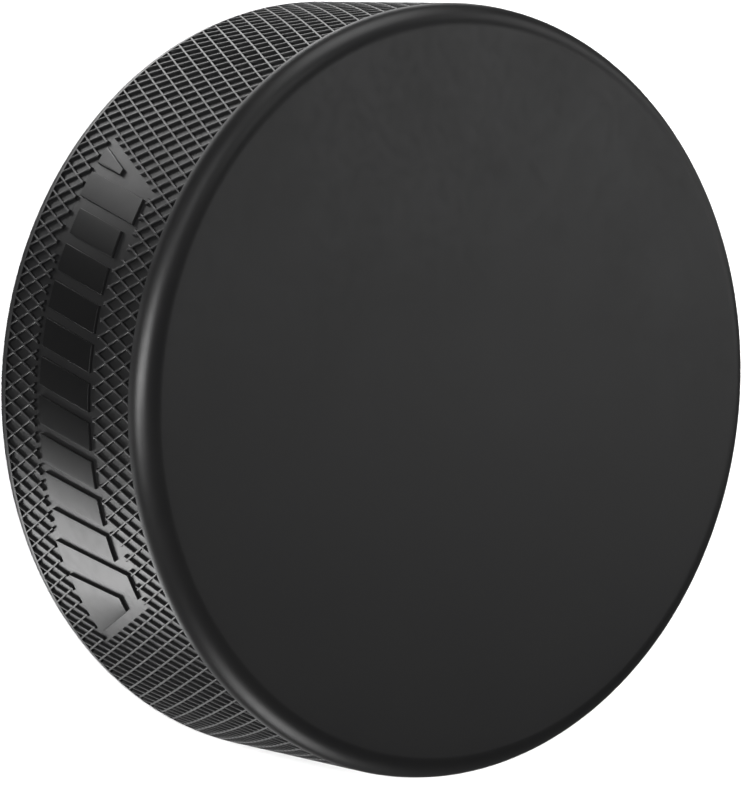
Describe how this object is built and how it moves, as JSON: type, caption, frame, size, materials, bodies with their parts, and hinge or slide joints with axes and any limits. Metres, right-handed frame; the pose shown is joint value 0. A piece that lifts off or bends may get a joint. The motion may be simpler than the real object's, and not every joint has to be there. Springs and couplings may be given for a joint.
{
  "type": "hockey puck",
  "caption": "Solid vulcanised rubber ice hockey puck: a flat disc with rounded shoulders, a knurled side wall and smooth side panels with raised blocks.",
  "frame": {"origin": "centre of the lower flat face, which the puck rests on", "axes": "+Z along the disc's axis towards the upper flat face; the two smooth panels on the side wall face -Y and +Y, and their raised blocks lean towards +X as they rise on the -Y side"},
  "size_m": [0.0762, 0.0762, 0.0254],
  "materials": {
    "puck_rubber": "matte moulded black rubber, smooth faces with a soft sheen"
  },
  "bodies": {
    "root": {"puck": "puck_rubber"}
  },
  "joints": []
}
